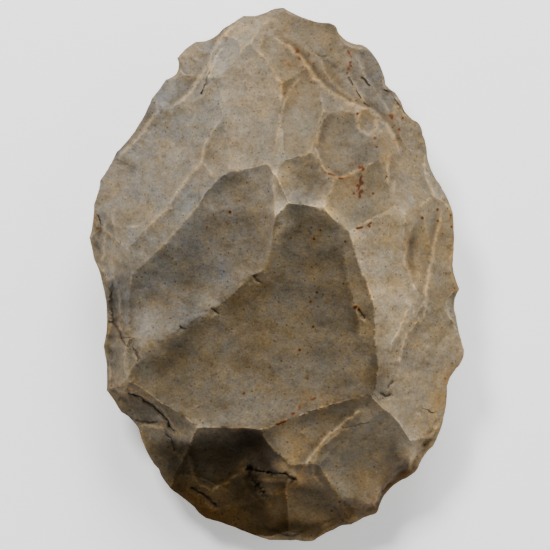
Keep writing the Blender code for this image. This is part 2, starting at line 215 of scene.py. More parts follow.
# Lines of rust: the same kind of rows.
RUST_LINES = [Crack(*row) for row in [
    (0.4, 0.08, [(11.4, -31.1), (8.8, -32.1), (5.6, -34.3), (3.5, -36.1), (0.9, -37.9), (-0.7, -38.7)]),
    (0.3, 0.08, [(18.7, 58.9), (19.8, 56.8), (18.7, 54.2)]),
    (0.3, 0.08, [(13.5, 26.4), (16.5, 25.4), (20.5, 27.4), (22.3, 28.3)]),
    (0.35, 0.08, [(22.3, 28), (21.5, 25), (21.3, 22), (21.8, 20.2)]),
    (0.3, 0.08, [(20.7, 12.4), (22.8, 12.9), (24.5, 14)]),
]]

# Ridges and ledges between the facets. A crest falls away slowly or steeply on either side of its
# path, seen along the path: its height, its reach to the left and to the right, and how pale it is.
Ridge = namedtuple("Ridge", "height left right pale path")
RIDGES = [Ridge(*row) for row in [
    (0.5, 0.8, 4, 0.8, [(-30.7, 43.5), (-27.9, 44), (-25.2, 45.6), (-22.6, 48.2), (-20, 51.6),
        (-17.9, 55.3), (-16.9, 58.4), (-14.8, 61.5), (-12.2, 64.7), (-9, 67.3)]),
    (0.3, 0.5, 3, 0.7, [(-18.9, 49), (-17.2, 54.5), (-15.9, 57.4), (-13.2, 60.5)]),
    (0.3, 1.5, 1.5, 0.5, [(-21.8, 56.3), (-19, 58.4), (-17.4, 59.5)]),
    (0.2, 1, 1, 0.4, [(-21.1, 61.3), (-20, 59.2), (-19, 58.4)]),
    (0.45, 4, 0.7, 0.7, [(-31, 47.4), (-31.3, 43.2), (-33.1, 40.6), (-35.2, 37.5), (-37.5, 34.9),
        (-40.9, 32), (-42, 29.1)]),
    (0.4, 3, 1.2, 0.8, [(-29.9, 16), (-26.8, 20.7), (-23.4, 25.4), (-21.6, 27.5), (-19.5, 29.4),
        (-19, 33.8), (-16.9, 37.5), (-14.8, 40.6), (-12.9, 43)]),
    (0.2, 1, 1, 0.6, [(-19.2, 29.4), (-17.4, 27.5), (-17.1, 25.4)]),
    (0.2, 1.5, 1.5, 0.5, [(-3.5, 64.4), (-3.3, 62.6), (-4.3, 60.5), (-4.8, 58.4), (-2.7, 57.1)]),
    (0.7, 1, 3, 0.9, [(-3.8, 64.2), (-1.2, 63.1), (3.5, 59.7), (6.9, 56.3), (10.3, 51.3), (13, 48.7),
        (16.1, 46.6), (19.2, 44.8), (23.9, 43.5), (27.1, 41.1), (29.4, 38.5), (30.7, 35.9), (32.1, 32.2),
        (32.6, 29.1)]),
    (0.4, 0.7, 1.8, 0.7, [(10.6, 57.4), (12.4, 54.2), (14, 51.1), (16.6, 48.5), (19.8, 46.4),
        (22.9, 44.5)]),
    (0.3, 0.5, 1.5, 1, [(18.7, 53.2), (19.8, 51.1), (21.3, 47.9), (22.9, 45.3), (24.2, 44)]),
    (0.35, 1, 2, 0.5, [(18.7, 58.9), (21.3, 56.8), (22.4, 53.2), (25, 49.5), (28.1, 45.3), (29.7, 42.2),
        (29.7, 40.1)]),
    (0.4, 0.6, 2, 0.8, [(15.6, 44.8), (13, 42.2), (10.9, 38), (10.1, 33.3), (11.4, 28.6), (14, 26),
        (16.6, 25.2), (19.2, 26.5), (21.8, 28.1), (25, 30.1)]),
    (0.3, 2, 1, 0.6, [(7.2, 53.2), (3.5, 48.5), (1.4, 42.7), (0.1, 35.9), (-0.4, 32.2)]),
    (0.3, 0.8, 1.5, 0.7, [(29.2, 32.8), (28.7, 28.1), (29.2, 22.8)]),
    (0.2, 0.8, 1.2, 0.5, [(31.2, 28), (30.5, 24), (30.5, 20.7)]),
    (0.3, 0.6, 1.5, 0.5, [(-43.3, 17.1), (-42.8, 13.9), (-41, 12.9), (-37.3, 12.9), (-34.2, 13.7)]),
    (0.3, 2, 0.6, 0.6, [(-45.1, 15.5), (-44.9, 10.8), (-45.1, 6.6), (-45.9, 2.9)]),
    (0.2, 1, 1, 0.3, [(-42.8, 14.4), (-42, 10.3), (-42.8, 5)]),
    (0.5, 2.5, 0.5, 0.6, [(-41.5, -1.8), (-40.7, -7), (-41, -13.3), (-38.9, -15.8)]),
    (0.4, 1.5, 1.5, 0.7, [(-36, -20), (-37, -23), (-39.5, -26.5), (-41.9, -29.8)]),
    (0.45, 4, 0.6, 0.35, [(17.9, 8.2), (17.7, 3.5), (19, -1.8), (20, -7), (21.3, -11.2), (21.6, -16.4),
        (20.8, -19)]),
    (0.45, 0.6, 1.5, 0.6, [(36.8, 15.2), (34.9, 12.9), (33.9, 9.7), (33.3, 5.6), (33.4, 2.4), (34.9, 0.3),
        (37, -0.5)]),
    (0.4, 2, 0.8, 0.8, [(43, 19.2), (42.8, 15), (42, 11.8), (41.2, 8.2), (40.2, 3.5), (39.4, -0.7),
        (38.9, -3.9), (38.3, -10.7), (38.6, -13.3)]),
    (0.5, 0.6, 3, 0.6, [(38.3, -10.9), (36, -12.2), (33.9, -14.9), (32.6, -18), (31.8, -21.7),
        (31.8, -23.8)]),
    (0.3, 1.5, 2.5, 0.5, [(35.7, -5.4), (34.4, -8.1), (32.3, -12.2), (30.2, -16.4), (28.7, -20.6)]),
    (0.35, 0.7, 1.5, 0.6, [(18.7, -38.9), (15.6, -41), (11.4, -44.7), (9.5, -48.4), (9.5, -51.5),
        (11.4, -54.1), (14, -55.7)]),
    (0.5, 0.8, 3, 0.8, [(-24.2, -42.6), (-23, -47), (-22.4, -50.4), (-21.6, -53.6), (-19.5, -55.2),
        (-17.4, -56.2), (-14.5, -55.2), (-12.2, -53.6), (-9.5, -51.5), (-7.5, -50)]),
    (0.5, 1.5, 0.8, 1, [(-5.2, -52.6), (-3.5, -53.4), (0, -53.4), (3, -53.2)]),
    (0.3, 0.8, 1, 0.4, [(16.9, -58.3), (17.7, -60.9), (19.2, -64)]),
    (0.55, 1, 3.5, 0.8, [(5.4, -52.5), (8.6, -47.4), (12.9, -41.9), (18.5, -37.2), (23.5, -33.3)]),
    (0.3, 0.5, 0.6, 0.7, [(23.2, 43.2), (21.4, 41.9), (21, 39.5), (22.1, 37.6), (24.1, 36.9), (25.7, 38.4),
        (25.9, 40.9), (24.9, 42.8)]),
    (0.4, 1.2, 0.4, 0.6, [(-41.5, -30.3), (-38.1, -30), (-35.7, -30.6), (-33.1, -32.2), (-30, -34.5),
        (-27.9, -37), (-26.3, -39.6), (-25.2, -41.5)]),
    (0.4, 0.4, 1.5, 1, [(-36, -38.8), (-33.1, -39.2), (-30, -39.6), (-28.9, -41)]),
]]
CREST_REACH = 12    # a crest is not felt further off than this
PALE_LINE = 0.42    # half width of the pale line along a crest
PALE_HALO = (0.35, 3.2)  # beside it: how pale, and how many times as wide
WORN_LINE = 0.45    # the same for a worn ridge between two scars
WORN_HALO = (0.38, 3.4)
CREST_PALENESS = 1.25
FOOT_SHADE_AWAY = 1.0    # painted shade lies this far from a crest, on its steeper side
FOOT_SHADE_NEAR = 0.45   # and thins out over this distance towards the crest
FOOT_SHADE_FAR = 1.6     # and over this one away from it
FOOT_SHADE = (0.62, 0.66, 0.70)  # painted shade at a crest's foot: how much of the stone's red, green and blue it takes

# Soft patches: each row starts with the place, the length and width, and the bearing of the length.
# Where ridges are hardly worn, and the share of the wear that goes.
Unworn = namedtuple("Unworn", "x y length width bearing share")
UNWORN = [Unworn(*row) for row in [
    (-12.5, 40, 26, 5, 93, 0.9), (-20.5, 22, 14, 3, 42, 0.7), (25, 17.5, 16, 4, 28, 0.7),
    (31, -16, 28, 4, 64, 0.8), (-13, 55, 12, 6, 40, 0.8), (-22, 52, 12, 5, 0, 0.7),
    (3, 57, 12, 5, -55, 0.7), (9, 53, 12, 5, 20, 0.7), (18, 44, 14, 4, 0, 0.6), (26, 34, 14, 4, 95, 0.8),
    (15.3, -44, 14, 3.5, 50, 0.85), (15, -35.3, 28, 4, 16, 0.8), (20, 62.3, 14, 6, -30, 0.9),
]]
# Waves left by the blows: bearing is that of the travel.
Waves = namedtuple("Waves", "x y length width bearing spacing height")
WAVES = [Waves(*row) for row in [
    (38, 5, 9, 20, 175, 2.3, 0.07), (43.5, 5, 8, 26, 190, 2.8, 0.05), (-20, 5, 34, 22, 38, 7, 0.07),
    (2, -12, 50, 40, 95, 9, 0.08), (-33, 33, 30, 24, 60, 6, 0.06), (41, -27, 14, 22, 150, 4, 0.07),
    (17, -47, 20, 16, 60, 4.5, 0.06), (17, 34, 12, 14, 90, 3.5, 0.05),
]]
# Rust specks: x, y and radius.
RUST_SPECKS = [
    (5.5, 58.8, 0.7), (6, 56.8, 0.5), (8.5, 58, 0.4), (19.3, 56, 0.5), (19.4, 55, 0.4), (18.8, 54.4, 0.5),
    (18.5, 53.2, 0.4), (21, 42.4, 0.4), (25.5, 36, 0.5), (26, 33.6, 0.4), (30, 41.8, 0.8), (32, 38.4, 0.4),
    (33, 41.5, 0.3), (21.5, 28.4, 0.5), (22, 24.3, 0.6), (21, 23.5, 0.5), (22, 22, 0.6), (21.5, 20.6, 0.5),
    (20, 21.5, 0.4), (25, 21.5, 0.4), (28.5, 26, 0.3), (20.8, 12.5, 0.4), (24, 13, 0.3), (37.9, 15.3, 0.5),
    (42, 14.5, 0.4), (42, 17.5, 0.4), (45.5, 16, 0.4), (45.7, 13, 0.4), (10.5, -4, 0.4), (8.8, -6.5, 0.4),
    (9.5, -13, 0.4), (6, -19, 0.4), (9.7, 9.7, 0.4), (17.7, 9, 0.3), (11.3, 12, 0.3), (20.3, -8, 0.6),
    (21.3, -8.5, 0.5), (8, -26.5, 0.4), (-12, 16.7, 0.4), (-8.5, -30.3, 0.5), (14.5, -61.5, 0.4),
    (16.5, -59, 0.3),
]
# Rust stains, broad and faint: x, y, radius.
RUST_STAINS = [(43, -33, 3.0), (41, -38, 2.5), (27, -61, 2.5), (30, -55, 3.0), (34, -52, 2.5), (20, 23, 4.5)]
STAIN = 0.16  # how rusty a stain is in its middle, beside a speck

# The stone's colours at full lightness.
GREY = (1.00, 0.835, 0.62)
TAN = (1.00, 0.77, 0.47)
OCHRE = (1.00, 0.73, 0.39)
BROWN = (1.00, 0.69, 0.33)
UMBER = (1.00, 0.62, 0.24)
RUST = (0.085, 0.024, 0.002)
DARK_RUST = (0.032, 0.008, 0.001)
# the painted shade inside the cracks
CRACK_SHADE_COLOUR = (0.020, 0.013, 0.007)
STONE = 0.16  # how much light the plain stone gives back

# Each scar's tone, partly its patina and partly painted shade and light, most of all on the dark
# butt face and butt edge: its hue and how light it is beside plain stone.
PATINA_AND_SHADE = {
    "body": (TAN, 0.98), "left edge": (GREY, 1.05), "upper middle": (TAN, 0.80), "upper left": (GREY, 0.81),
    "left nick": (GREY, 0.78), "left shoulder": (GREY, 0.94), "right shoulder": (GREY, 0.51),
    "point": (OCHRE, 0.79), "upper blade": (OCHRE, 0.56), "sliver": (TAN, 0.66),
    "right upper edge": (OCHRE, 0.76), "right upper strip": (TAN, 0.76), "summit": (TAN, 0.66),
    "right of summit": (OCHRE, 0.72), "right middle": (TAN, 1.27), "right edge": (OCHRE, 0.89),
    "oval": (BROWN, 1.02), "right lower": (TAN, 1.26), "left lower edge": (TAN, 0.80),
    "butt right": (TAN, 1.30), "left strip": (GREY, 0.90), "butt edge": (UMBER, 0.38),
    "butt left": (TAN, 0.80), "main": (TAN, 0.58), "main foot": (TAN, 1.12), "left": (GREY, 0.75),
    "left top": (GREY, 0.86), "butt face": (BROWN, 0.48), "butt corner": (BROWN, 0.80),
    "round": (TAN, 0.53), "small pit": (TAN, 0.64),
}
UNDERSIDE = (TAN, 0.84)  # the lower face all over

# Soft patches over the patina, partly the stone's own tone and partly painted shade and light: place,
# length and width, bearing, how light, and a tone.
PLAIN = (1, 1, 1)
WARM = (1.06, 1.0, 0.86)
COOL = (0.97, 1.0, 1.04)
RUSTY = (1.14, 0.95, 0.74)
ShadeAndToneZone = namedtuple("ShadeAndToneZone", "x y length width bearing light tone", defaults=(PLAIN,))
SHADE_AND_TONE_ZONES = [ShadeAndToneZone(*row) for row in [
    (4, 55, 22, 9, -20, 0.66, WARM), (14, 56, 18, 10, -45, 0.8), (8, 66, 22, 6, -10, 0.75),
    (12, 45, 20, 8, -60, 0.8), (-12, 35, 18, 10, 60, 0.85, WARM), (21, 34, 14, 11, 80, 0.88),
    (9, 24, 9, 8, 0, 0.54), (24, 24, 16, 10, 60, 0.9), (23, 15, 14, 8, 0, 0.84), (13, 36, 10, 4, 80, 1.2),
    (11, 53, 8, 5, -40, 1.2), (5, 56, 10, 8, 0, 0.85, WARM), (-2, 33, 14, 10, 0, 0.87),
    (15, 42, 14, 5, -45, 1.15), (-43, 13, 9, 5, -20, 0.75), (-44, 5, 10, 8, 0, 1.35),
    (-45, 24, 8, 6, 60, 1.25), (0.8, 15, 22, 5, 88, 1.7), (0.5, 13, 9, 5, 75, 1.9),
    (-3.5, 22.5, 8, 7, 80, 1.8), (8, 20.5, 8, 4, 0, 0.8), (10, 16, 11, 4, -25, 1.3), (7, 16, 9, 6, 0, 1.15),
    (-5, 27, 10, 3, 0, 1.15), (32, -52, 12, 9, -50, 0.9, RUSTY), (22, -62, 24, 6, 25, 0.95, RUSTY),
    (-22, -60, 24, 6, -35, 0.95, RUSTY), (0, 13, 6, 6, 0, 1.25), (3, 25.5, 14, 6, 0, 1.25),
    (-25, 12, 16, 4, 45, 1.2), (-6, 27.5, 16, 3, 0, 1.3), (3, 12, 10, 8, 60, 0.85),
    (13, 15.5, 14, 5, -35, 1.75), (11, 5, 16, 16, 100, 1.3), (20.5, 1, 20, 4, 102, 1.45),
    (9, 8, 10, 8, 100, 1.2), (-14, -3, 20, 5, 38, 1.12), (-31, 3, 26, 15, 30, 0.62, COOL),
    (-40.5, 4.5, 10, 8, 20, 1.3), (-24, 0, 10, 8, 0, 0.82), (-29.5, -21, 10, 4, 40, 0.75),
    (-40, -5, 16, 8, 80, 0.45), (-21, -1, 14, 10, 0, 0.76, COOL), (-35, -13, 15, 10, 40, 1.6),
    (-21, -15, 20, 4, 33, 0.76), (-34.5, -21, 12, 8, 50, 1.06), (-34, -28, 14, 5, 12, 1.16),
    (-18, -26, 16, 8, 0, 1.1), (-9, -32, 6, 8, 60, 1.12), (10, -39, 14, 4, 10, 1.1),
    (17, -65, 8, 4, 20, 0.78), (10, -47, 5, 4, 0, 0.9), (-7, -5, 18, 4.5, 38, 0.74),
    (-16, -5.5, 10, 4, 35, 1.25), (-27, -20, 26, 5, 36, 0.8), (-25, -25, 16, 12, 30, 0.78, COOL),
    (-36, -34, 12, 8, -30, 0.62), (-21, -41.2, 18, 3.5, 0, 1.7), (-30, -39, 12, 3, -25, 1.4),
    (4, -10, 32, 8, 100, 1.25), (-13, -16, 12, 10, 0, 1.15), (26.5, -24, 20, 6, 82, 0.42),
    (24, -34.5, 8, 5, 60, 1.5), (29, -40, 7, 5, 100, 1.3), (36, -45, 10, 5, 60, 1.25),
    (33, -9, 18, 8, 90, 1.1), (28.5, -10, 16, 4, 97, 1.15), (18.5, -3, 16, 4, -68, 1.25),
    (3, -41.5, 10, 4, 0, 1.25), (1, -65, 5, 4, 0, 1.4), (10, -65, 6, 3, 0, 1.3), (-43, 12, 7, 9, 0, 0.85),
    (30, -40.5, 7, 5, 90, 1.3), (29, -52, 7, 10, 0, 0.86), (-38, -36, 7, 5, -50, 0.75),
    (29, -45, 5, 8, 0, 0.7), (39, -10, 16, 10, 90, 1.25), (33, -4, 14, 8, 80, 1.12),
    (14, -25, 18, 14, 0, 0.86), (18, -33, 26, 6, 20, 0.76), (5, -47, 14, 6, -10, 1.35),
    (5, -51, 10, 5, 0, 1.6), (13, -46, 8, 6, 0, 0.74), (15, -54, 16, 8, -40, 1.35),
    (31.5, -46, 18, 5, 105, 0.4), (35, -46, 12, 8, -50, 2), (-15, -57, 20, 7, 8, 1.1),
    (-27, -49, 16, 8, -62, 0.66), (-15, -53.5, 13, 7, 0, 0.78), (-4, -44, 9, 8, 90, 0.58),
    (-8, -58, 9, 7, -50, 0.65), (-9, -40.4, 9, 2.6, 0, 0.62), (-23, -40.3, 9, 3, -10, 1.3),
    (-15, -45, 12, 6, 0, 0.74), (3, -42, 8, 4, 10, 1.22), (4.5, -52, 7, 4, -50, 1.35),
    (-3.6, -48, 9, 3, -62, 0.6), (-6, -58.5, 10, 4, -60, 0.66), (5, -68, 12, 3, 3, 0.62),
    (5, -46.5, 7, 5, -60, 0.85), (-40, -14, 8, 6, 30, 0.82), (-20, -16, 7, 5, 40, 0.85),
    (18, 64.5, 14, 6, -32, 0.66, COOL), (4, 70, 10, 4, 0, 0.7, COOL), (46.5, -1, 14, 6, -80, 0.76),
    (46, -26, 14, 6, 80, 0.84, RUSTY), (40, 25, 10, 5, -65, 0.86), (-45, -18, 16, 5, -85, 0.7),
    (26.8, -29, 11, 3.5, 85, 0.82), (-14, -34.5, 7, 5, 0, 0.84), (-36, -19, 10, 5, 25, 1.12),
    (24, -35, 5, 3, 30, 1.2), (38, -41, 7, 5, 40, 0.85), (36, -48, 8, 3, 50, 1.15),
    (-3.5, -54.5, 6, 6, 0, 1.35), (-11, -46, 20, 9, 0, 0.5), (3, -50.3, 12, 3.4, -25, 2.6),
    (6.5, -55.5, 16, 4, -25, 0.55), (-0.5, -61, 3, 8, 0, 1.4), (-33, -40, 10, 5, -20, 1.5),
    (-28, -48.5, 18, 7, -63, 0.55), (-25, -45, 9, 8, 0, 0.36), (-29, -53, 8, 6, -45, 0.8),
    (-7.5, -42.5, 12, 6, 0, 0.5), (-8, -55, 6, 6, 0, 0.5), (-38, -38, 8, 5, -50, 1.35),
    (30, -17, 18, 8, 70, 1.25), (35, 14, 12, 8, 90, 1.2), (24, 32, 12, 8, 100, 0.8),
    (6, 64, 12, 5, 0, 0.85), (15, 68, 16, 5, -35, 0.7), (34.5, 6, 12, 3, 88, 0.72),
    (40, 3, 26, 7, 95, 0.85), (5, -66.5, 32, 5, 0, 0.42), (17, -61, 12, 7, 40, 0.65),
    (1, -61, 6, 10, 90, 1.25), (3, -45, 9, 7, -20, 1.2), (9, -63, 8, 5, 0, 1.3),
    (-20, -60, 30, 8, -30, 0.7, WARM),
]]

FINE_STEP = 0.42    # mesh spacing on the upper face
COARSE_STEP = 0.80  # and on the lower one
RIM_GAP = 0.4       # share of the spacing that the mesh keeps clear of the edge
SHARP_ANGLE = 24    # degrees between faces above which shading breaks
CALM_BAND = (0.3, 3)  # the stone's roughness grows over these distances from the edge
CRUMBLE = 0.22      # depth of the crumbled places along the ridges
TRIM = 2.0          # how sharply a facet rises past its own outline
CHIP_TRIM = 1.5     # and an edge chip
REST_LEVEL = REST_CUT - LOWER_DROP  # height of the resting flat, from the middle of the edge


# ---------------------------------------------------------------- noise
def noise(x, y, size, seed):
    """Smooth noise, about -1 to 1, with features of about the given size."""
    u = np.asarray(x) / size
    v = np.asarray(y) / size
    column = np.floor(u).astype(np.int64)
    row = np.floor(v).astype(np.int64)
    u = u - column
    v = v - row

    def corner(step_u, step_v):
        """Slope at a corner of the cell, in a direction scrambled from the corner's place."""
        key = ((column + step_u) * 374761393 + (row + step_v) * 668265263 + seed * 2147483647) & 0xFFFFFFFF
        key = ((key ^ (key >> 13)) * 1274126177) & 0xFFFFFFFF
        turn = ((key ^ (key >> 16)) & 0xFFFF) * (2 * math.pi / 65536)
        return np.cos(turn) * (u - step_u) + np.sin(turn) * (v - step_v)

    fade_u = u * u * u * (u * (u * 6 - 15) + 10)
    fade_v = v * v * v * (v * (v * 6 - 15) + 10)
    low = corner(0, 0) * (1 - fade_u) + corner(1, 0) * fade_u
    high = corner(0, 1) * (1 - fade_u) + corner(1, 1) * fade_u
    return 1.5 * (low * (1 - fade_v) + high * fade_v)


def layered(x, y, seed, layers):
    """Noise of several sizes together: layers gives each one's strength and size."""
    return sum(strength * noise(x, y, size, seed + i) for i, (strength, size) in enumerate(layers))


def shifts(x, y, seed, layers):
    """How far places wander along X and along Y."""
    return layered(x, y, seed, layers), layered(x, y, seed + len(layers), layers)


def smooth_step(value, low, high):
    t = np.clip((value - low) / (high - low), 0, 1)
    return t * t * (3 - 2 * t)


def bell(value):
    return np.exp(-value ** 2)


# ---------------------------------------------------------------- the blank's form, as in the solid
def edge_line(steps):
    """Points of the edge in plan, with each bite as a shallow arc of a few steps."""
    points = []
    for (x0, y0, bite), (x1, y1, _) in zip(EDGE_TIPS, EDGE_TIPS[1:] + EDGE_TIPS[:1]):
        chord = math.hypot(x1 - x0, y1 - y0)
        for step in range(steps):
            t = step / steps
            sag = 4 * bite * t * (1 - t) / chord
            points.append((x0 + t * (x1 - x0) + sag * (y1 - y0), y0 + t * (y1 - y0) - sag * (x1 - x0)))
    return np.array(points)


def edge_radius():
    """The edge's distance from the eye at each half degree, as it is and averaged."""
    arms = edge_line(6) - (EYE_X, EYE_Y)
    bearings = np.arctan2(arms[:, 1], arms[:, 0])
    fine = np.radians(np.arange(0, 360, 0.5))
    wavy = np.interp(fine, bearings[::-1], np.hypot(arms[:, 0], arms[:, 1])[::-1], period=2 * math.pi)
    window = np.hanning(4 * SMOOTHING + 3)
    wrapped = np.concatenate([wavy, wavy, wavy])
    smooth = np.convolve(wrapped, window / window.sum(), mode="same")[len(wavy):2 * len(wavy)]
    return fine, wavy, smooth


BEARINGS, WAVY_RADIUS, SMOOTH_RADIUS = edge_radius()


def share_out(x, y):
    """Share of the way from the eye (0) to the edge (1), the bearing there, and the mean radius."""
    bearing = np.arctan2(y - EYE_Y, x - EYE_X)
    distance = np.hypot(x - EYE_X, y - EYE_Y)
    mean = np.interp(bearing, BEARINGS, SMOOTH_RADIUS, period=2 * math.pi)
    smooth = distance / mean
    wavy = distance / np.interp(bearing, BEARINGS, WAVY_RADIUS, period=2 * math.pi)
    near_edge = np.clip((smooth - WAVE_START) / (1 - WAVE_START), 0, 1)
    return smooth + (wavy - smooth) * near_edge ** 2 * (3 - 2 * near_edge), bearing, mean


def inward(x, y):
    """Distance in from the edge."""
    share, _, mean = share_out(x, y)
    return mean * (1 - share)


def edge_height(bearing):
    """The edge is not flat: it tilts from side to side and dips at the butt."""
    return SIDE_TILT * np.cos(bearing) - BUTT_SAG * np.clip(-np.sin(bearing), 0, 1) ** 5


def upper_body(x, y):
    share, bearing, _ = share_out(x, y)
    edge = edge_height(bearing)
    fullness = UPPER_FULLNESS - BUTT_FULLNESS * np.sin(bearing)
    return edge + (UPPER_RISE - edge) * (1 - (share / BODY_SHARE) ** fullness)


def lower_body(x, y):
    share, bearing, _ = share_out(x, y)
    edge = edge_height(bearing)
    return edge - (LOWER_DROP + edge) * (1 - (share / BODY_SHARE) ** LOWER_FULLNESS)


def edge_lens(x, y, slope):
    """The thin lens that carries the edge: its upper face or, with a slope below zero, its lower one."""
    share, bearing, mean = share_out(x, y)
    return edge_height(bearing) + slope * np.minimum(mean * (1 - share), EDGE_BAND)


def oval(row, x, y):
    """How far along and across a row's oval a place is: its outline is at 1."""
    turn = math.radians(row.bearing)
    dx = x - row.x
    dy = y - row.y
    along = (dx * math.cos(turn) + dy * math.sin(turn)) / (row.length / 2)
    across = (dy * math.cos(turn) - dx * math.sin(turn)) / (row.width / 2)
    return along, across


class Bowl:
    """The quadratic surface that one flake leaves."""

    def __init__(self, scar, stone):
        self.scar = scar
        self.floor, self.slope_x, self.slope_y = scar.floor or self.fit_rim(stone)

    def past(self, x, y, share):
        """How far past the given share of its oval a place is, squared."""
        return np.clip(np.hypot(*oval(self.scar, x, y)) - share, 0, None) ** 2

    def dish(self, x, y):
        """Rise of the hollow above its middle."""
        along, across = oval(self.scar, x, y)
        hollow_along, hollow_across = np.broadcast_to(self.scar.hollow, 2)
        return hollow_along * along ** 2 + hollow_across * across ** 2

    def fit_rim(self, stone):
        """Floor height and slopes whose rim best follows the stone as it stands."""
        scar = self.scar
        turn = math.radians(scar.bearing)
        round_rim = np.radians(np.arange(0, 360, 7.5))
        along = scar.length / 2 * np.cos(round_rim)
        across = scar.width / 2 * np.sin(round_rim)
        x = scar.x + along * math.cos(turn) - across * math.sin(turn)
        y = scar.y + along * math.sin(turn) + across * math.cos(turn)
        overshoot = np.maximum(share_out(x, y)[0], 1)  # rim past the edge is drawn back to it
        x = EYE_X + (x - EYE_X) / overshoot
        y = EYE_Y + (y - EYE_Y) / overshoot
        past = overshoot > 1
        rise = stone(x, y) - self.dish(x, y) + np.where(past, EDGE_CLEARANCE, 0)
        weight = np.where(past, EDGE_WEIGHT, 1.0)
        sides = np.stack([np.ones_like(x), x - scar.x, y - scar.y], axis=1)
        level, slope_x, slope_y = np.linalg.lstsq(sides * weight[:, None], rise * weight, rcond=None)[0]
        return level - scar.sink, slope_x + scar.lean[0], slope_y + scar.lean[1]

    def height(self, x, y):
        scar = self.scar
        rise = self.floor + self.slope_x * (x - scar.x) + self.slope_y * (y - scar.y) + self.dish(x, y)
        if scar.wall:
            wall_x, steepness = scar.wall
            rise = rise + steepness / 2 * (x - wall_x + np.hypot(x - wall_x, WALL_BEND))
        return rise


def knap(scars, body):
    """Strike the scars in turn, each fitted to the stone that the earlier ones left."""
    bowls = []

    def stone(x, y):
        return np.min([body(x, y)] + [bowl.height(x, y) for bowl in bowls], axis=0)

    for scar in scars:
        bowls.append(Bowl(scar, stone))
    return bowls


# ---------------------------------------------------------------- lines and patches
def path_distance(path, x, y, reach):
    """Distance from a line of points, above zero to its left, and the share of the way along it.

    Places further off than the reach are only given that distance.
    """
    far = np.full(np.shape(x), float(reach))
    share = np.zeros(np.shape(x))
    low = path.min(axis=0) - reach
    high = path.max(axis=0) + reach
    close = (x > low[0]) & (x < high[0]) & (y > low[1]) & (y < high[1])
    near_x, near_y = x[close], y[close]
    nearest = np.full(near_x.shape, float(reach))
    side = np.ones(near_x.shape)
    along = np.zeros(near_x.shape)
    for i, ((x0, y0), (x1, y1)) in enumerate(zip(path, path[1:])):
        dx, dy = x1 - x0, y1 - y0
        t = np.clip(((near_x - x0) * dx + (near_y - y0) * dy) / (dx * dx + dy * dy), 0, 1)
        distance = np.hypot(near_x - x0 - t * dx, near_y - y0 - t * dy)
        closer = distance < nearest
        nearest = np.where(closer, distance, nearest)
        side = np.where(closer, np.sign(dx * (near_y - y0) - dy * (near_x - x0)), side)
        along = np.where(closer, (i + t) / (len(path) - 1), along)
    far[close] = nearest * side
    share[close] = along
    return far, share


def crooked(path, seed):
    """A path as evenly spaced points that wander a little, as cracks do."""
    points = np.array(path, dtype=float)
    along = np.concatenate([[0], np.cumsum(np.hypot(*np.diff(points, axis=0).T))])
    places = np.linspace(0, along[-1], max(3, int(along[-1] / 0.3)))
    x = np.interp(places, along, points[:, 0])
    y = np.interp(places, along, points[:, 1])
    shift_x, shift_y = shifts(x, y, seed, ((0.30, 2.6), (0.20, 0.9)))
    return np.stack([x + shift_x, y + shift_y], axis=1)


def crooked_lines(rows, seed):
    return [row._replace(path=crooked(row.path, seed + 4 * i)) for i, row in enumerate(rows)]


CRACKS = crooked_lines(CRACKS, 300)
RUST_LINES = crooked_lines(RUST_LINES, 600)
RIDGES = crooked_lines(RIDGES, 700)


def patch(row, x, y):
    """1 in the middle of a soft oval patch, falling to nought outside it."""
    along, across = oval(row, x, y)
    return np.exp(-along ** 2 - across ** 2)


def rubbed(away, width, halo, broken=1):
    """How pale a rubbed ridge is: a line along it, broken in places, and a fainter halo beside it."""
    share, times = halo
    return np.maximum(bell(away / width) * broken, share * bell(away / (times * width)))


# ---------------------------------------------------------------- what lies on the upper face
def crests(x, y):
    """Height and paleness that the ridges add, and the painted shade at the foot of their steeper side."""
    rise, pale, foot_shade = np.zeros((3, len(x)))
    line = PALE_LINE * (1 + 0.6 * noise(x, y, 3.5, 801))
    for ridge in RIDGES:
        away, share = path_distance(ridge.path, x, y, CREST_REACH)
        reach = np.where(away > 0, ridge.left, ridge.right)
        taper = smooth_step(share, 0, 0.15) * smooth_step(1 - share, 0, 0.15)
        rise += ridge.height * taper * np.exp(-np.abs(away) / reach) * (np.abs(away) < CREST_REACH)
        pale = np.maximum(pale, CREST_PALENESS * ridge.pale * taper * rubbed(away, line, PALE_HALO))
        foot = -away if ridge.left > ridge.right else away
        spread = np.where(foot > FOOT_SHADE_AWAY, FOOT_SHADE_FAR, FOOT_SHADE_NEAR)
        foot_shade = np.maximum(foot_shade, ridge.height * taper * bell((foot - FOOT_SHADE_AWAY) / spread) * (foot > 0))
    return rise, pale, foot_shade


def ripples(x, y):
    rise = np.zeros(len(x))
    for waves in WAVES:
        travel = oval(waves, x, y)[0] * waves.length / 2
        travel = travel + 0.25 * waves.spacing * noise(x, y, 2.5 * waves.spacing, 811)
        rise += waves.height * patch(waves, x, y) * np.sin(2 * math.pi * travel / waves.spacing)
    return rise


def cracked(x, y):
    """How deep the cracks cut, the painted shade in them, and the pale lip along one side of them, painted
    light on a ledge.
    """
    depth, crack_shade, lit_lip = np.zeros((3, len(x)))
    uneven = np.clip(0.75 + layered(x, y, 71, ((1, 2.8), (0.7, 0.9))), 0.12, None)
    for crack in CRACKS:
        away = path_distance(crack.path, x, y, 4)[0]
        near = bell(away / (crack.width * uneven))
        depth += crack.depth * near
        crack_shade = np.maximum(crack_shade, near)
        lit_lip = np.maximum(lit_lip, LIP_PALENESS * bell((away + LIP_AWAY * crack.width) / crack.width))
    return depth, crack_shade, lit_lip


